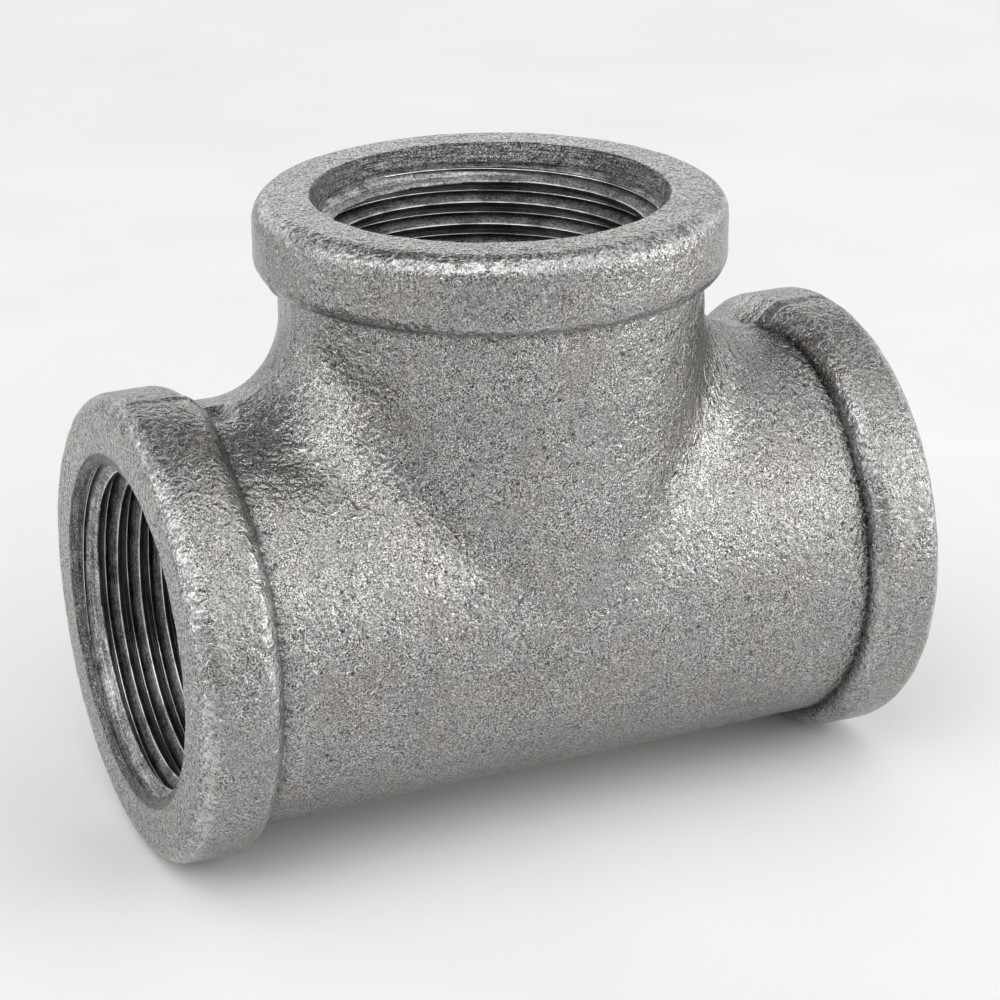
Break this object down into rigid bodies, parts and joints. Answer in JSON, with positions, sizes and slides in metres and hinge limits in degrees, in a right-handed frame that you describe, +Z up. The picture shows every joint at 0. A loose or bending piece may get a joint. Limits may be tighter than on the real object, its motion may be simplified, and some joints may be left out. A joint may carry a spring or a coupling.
{
  "type": "pipe tee fitting",
  "caption": "Banded malleable-iron pipe tee with female taper-threaded ports at both run ends and on the branch.",
  "frame": {"origin": "bottom centre of the bounding box: under the crossing of the run and branch axes, level with the lowest points of the run bands", "axes": "+X along the run from the left port to the right port, +Z up the branch axis out of its port, +Y across the fitting, away from the side the picture shows"},
  "size_m": [0.0762, 0.045, 0.0606],
  "materials": {
    "body_iron": "as-cast grainy skin",
    "band_iron": "as-cast grainy skin, edges worn bright",
    "thread_iron": "machined thread, dark and glossy"
  },
  "bodies": {
    "root": {"tee_body": "body_iron", "left_band": "band_iron", "right_band": "band_iron", "branch_band": "band_iron", "left_thread": "thread_iron", "right_thread": "thread_iron", "branch_thread": "thread_iron"}
  },
  "joints": []
}
